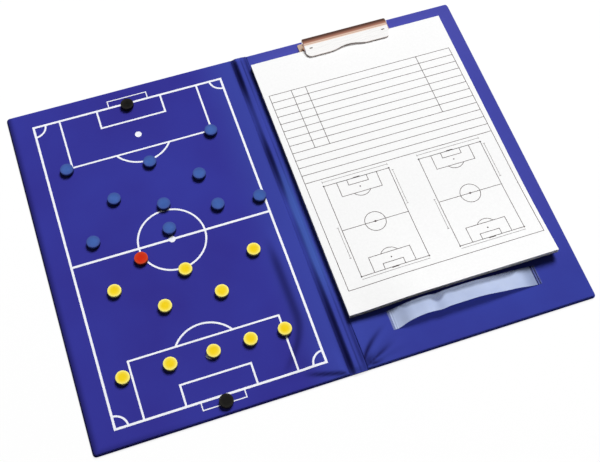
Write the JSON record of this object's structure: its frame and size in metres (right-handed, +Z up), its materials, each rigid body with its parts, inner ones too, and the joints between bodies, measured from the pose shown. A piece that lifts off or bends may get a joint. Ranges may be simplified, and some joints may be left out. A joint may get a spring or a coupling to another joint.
{
  "type": "tactics_board",
  "caption": "Folding football tactics board: vinyl-covered leaves on a welded spine, one a magnetic pitch with round markers, the other a spring-clip writing pad with a clear pen strip",
  "frame": {"origin": "middle of the underside of the open folder", "axes": "+X towards the clipboard leaf, +Y towards the clip end, +Z up from the table"},
  "size_m": [0.482, 0.366, 0.0165],
  "materials": {
    "vinyl": "soft PVC sheet, fine grain, low sheen",
    "spine_vinyl": "soft PVC sheet, welded ridges",
    "board": "dense greyboard",
    "steel": "thin tinned sheet",
    "ink": "screen-printed white",
    "blue_cap": "moulded, polished",
    "yellow_cap": "moulded, polished",
    "red_cap": "moulded, polished",
    "black_cap": "moulded, polished",
    "paper": "uncoated white",
    "card": "grey pad backing",
    "glue": "dried padding glue",
    "plated_steel": "bright nickel plate",
    "wire": "drawn spring wire",
    "rivet": "plain brass",
    "clear_pvc": "clear soft PVC film"
  },
  "bodies": {
    "right_leaf": {"right_board": "board", "right_inner_skin": "vinyl", "right_outer_skin": "vinyl", "clip_base": "plated_steel", "clip_pin": "plated_steel", "clip_spring": "wire", "clip_rivets": "rivet", "pen_strip": "clear_pvc", "right_hinge_web": "spine_vinyl"},
    "clip_lever": {"clip_lever": "plated_steel"},
    "pad": {"pad_card": "card", "pad_sheets": "paper", "pad_glue_edge": "glue"},
    "spine": {"spine_inner_skin": "spine_vinyl", "spine_outer_skin": "spine_vinyl", "left_hinge_web": "spine_vinyl"},
    "left_leaf": {"left_board": "board", "steel_sheet": "steel", "left_inner_skin": "vinyl", "left_outer_skin": "vinyl", "pitch_markings": "ink"},
    "blue_marker_01": {"blue_marker_01": "blue_cap"},
    "blue_marker_02": {"blue_marker_02": "blue_cap"},
    "blue_marker_03": {"blue_marker_03": "blue_cap"},
    "blue_marker_04": {"blue_marker_04": "blue_cap"},
    "blue_marker_05": {"blue_marker_05": "blue_cap"},
    "blue_marker_06": {"blue_marker_06": "blue_cap"},
    "blue_marker_07": {"blue_marker_07": "blue_cap"},
    "blue_marker_08": {"blue_marker_08": "blue_cap"},
    "blue_marker_09": {"blue_marker_09": "blue_cap"},
    "blue_marker_10": {"blue_marker_10": "blue_cap"},
    "yellow_marker_01": {"yellow_marker_01": "yellow_cap"},
    "yellow_marker_02": {"yellow_marker_02": "yellow_cap"},
    "yellow_marker_03": {"yellow_marker_03": "yellow_cap"},
    "yellow_marker_04": {"yellow_marker_04": "yellow_cap"},
    "yellow_marker_05": {"yellow_marker_05": "yellow_cap"},
    "yellow_marker_06": {"yellow_marker_06": "yellow_cap"},
    "yellow_marker_07": {"yellow_marker_07": "yellow_cap"},
    "yellow_marker_08": {"yellow_marker_08": "yellow_cap"},
    "yellow_marker_09": {"yellow_marker_09": "yellow_cap"},
    "yellow_marker_10": {"yellow_marker_10": "yellow_cap"},
    "red_marker_01": {"red_marker_01": "red_cap"},
    "black_marker_01": {"black_marker_01": "black_cap"},
    "black_marker_02": {"black_marker_02": "black_cap"}
  },
  "joints": [
    {"name": "spine_fold", "type": "hinge", "parent": "right_leaf", "child": "spine", "pos_m": [0.01085, 0, 0.001], "axis": [0, 1, 0], "range_deg": [-90, 90], "deforming": ["right_hinge_web"]},
    {"name": "leaf_fold", "type": "hinge", "parent": "spine", "child": "left_leaf", "pos_m": [-0.00315, 0, 0.001], "axis": [0, 1, 0], "range_deg": [-90, 83], "deforming": ["left_hinge_web"]},
    {"name": "clip_open", "type": "hinge", "parent": "right_leaf", "child": "clip_lever", "pos_m": [0.1179, 0.1732, 0.01217], "axis": [1, 0, 0], "range_deg": [-40, 0], "stiffness_Nm_per_rad": 0.35, "springref_deg": 34.38, "deforming": ["clip_spring"]},
    {"name": "pad_slide", "type": "slide", "parent": "right_leaf", "child": "pad", "axis": [-1, 0, 0], "range_m": [-0.235, 0]},
    {"name": "blue_marker_01_slide", "type": "slide", "parent": "left_leaf", "child": "blue_marker_01", "axis": [0, 1, 0], "range_m": [-0.04, 0]},
    {"name": "blue_marker_02_slide", "type": "slide", "parent": "left_leaf", "child": "blue_marker_02", "axis": [0, 1, 0], "range_m": [-0.03, 0]},
    {"name": "blue_marker_03_slide", "type": "slide", "parent": "left_leaf", "child": "blue_marker_03", "axis": [0, 1, 0], "range_m": [-0.03, 0]},
    {"name": "blue_marker_04_slide", "type": "slide", "parent": "left_leaf", "child": "blue_marker_04", "axis": [1, 0, 0], "range_m": [-0.02, 0]},
    {"name": "blue_marker_05_slide", "type": "slide", "parent": "left_leaf", "child": "blue_marker_05", "axis": [0, 1, 0], "range_m": [-0.03, 0]},
    {"name": "blue_marker_06_slide", "type": "slide", "parent": "left_leaf", "child": "blue_marker_06", "axis": [-1, 0, 0], "range_m": [-0.02, 0]},
    {"name": "blue_marker_07_slide", "type": "slide", "parent": "left_leaf", "child": "blue_marker_07", "axis": [-1, 0, 0], "range_m": [-0.025, 0]},
    {"name": "blue_marker_08_slide", "type": "slide", "parent": "left_leaf", "child": "blue_marker_08", "axis": [0, 1, 0], "range_m": [-0.02, 0]},
    {"name": "blue_marker_09_slide", "type": "slide", "parent": "left_leaf", "child": "blue_marker_09", "axis": [0, 1, 0], "range_m": [-0.025, 0]},
    {"name": "blue_marker_10_slide", "type": "slide", "parent": "left_leaf", "child": "blue_marker_10", "axis": [0, -1, 0], "range_m": [-0.03, 0]},
    {"name": "yellow_marker_01_slide", "type": "slide", "parent": "left_leaf", "child": "yellow_marker_01", "axis": [0, -1, 0], "range_m": [-0.03, 0]},
    {"name": "yellow_marker_02_slide", "type": "slide", "parent": "left_leaf", "child": "yellow_marker_02", "axis": [-1, 0, 0], "range_m": [-0.03, 0]},
    {"name": "yellow_marker_03_slide", "type": "slide", "parent": "left_leaf", "child": "yellow_marker_03", "axis": [0, -1, 0], "range_m": [-0.025, 0]},
    {"name": "yellow_marker_04_slide", "type": "slide", "parent": "left_leaf", "child": "yellow_marker_04", "axis": [-1, 0, 0], "range_m": [-0.02, 0]},
    {"name": "yellow_marker_05_slide", "type": "slide", "parent": "left_leaf", "child": "yellow_marker_05", "axis": [0, -1, 0], "range_m": [-0.02, 0]},
    {"name": "yellow_marker_06_slide", "type": "slide", "parent": "left_leaf", "child": "yellow_marker_06", "axis": [0, -1, 0], "range_m": [-0.03, 0]},
    {"name": "yellow_marker_07_slide", "type": "slide", "parent": "left_leaf", "child": "yellow_marker_07", "axis": [0, -1, 0], "range_m": [-0.025, 0]},
    {"name": "yellow_marker_08_slide", "type": "slide", "parent": "left_leaf", "child": "yellow_marker_08", "axis": [0, -1, 0], "range_m": [-0.03, 0]},
    {"name": "yellow_marker_09_slide", "type": "slide", "parent": "left_leaf", "child": "yellow_marker_09", "axis": [0, -1, 0], "range_m": [-0.025, 0]},
    {"name": "yellow_marker_10_slide", "type": "slide", "parent": "left_leaf", "child": "yellow_marker_10", "axis": [0, -1, 0], "range_m": [-0.04, 0]},
    {"name": "red_marker_01_slide", "type": "slide", "parent": "left_leaf", "child": "red_marker_01", "axis": [0, -1, 0], "range_m": [-0.03, 0]},
    {"name": "black_marker_01_slide", "type": "slide", "parent": "left_leaf", "child": "black_marker_01", "axis": [-1, 0, 0], "range_m": [-0.03, 0]},
    {"name": "black_marker_02_slide", "type": "slide", "parent": "left_leaf", "child": "black_marker_02", "axis": [1, 0, 0], "range_m": [-0.03, 0]}
  ]
}
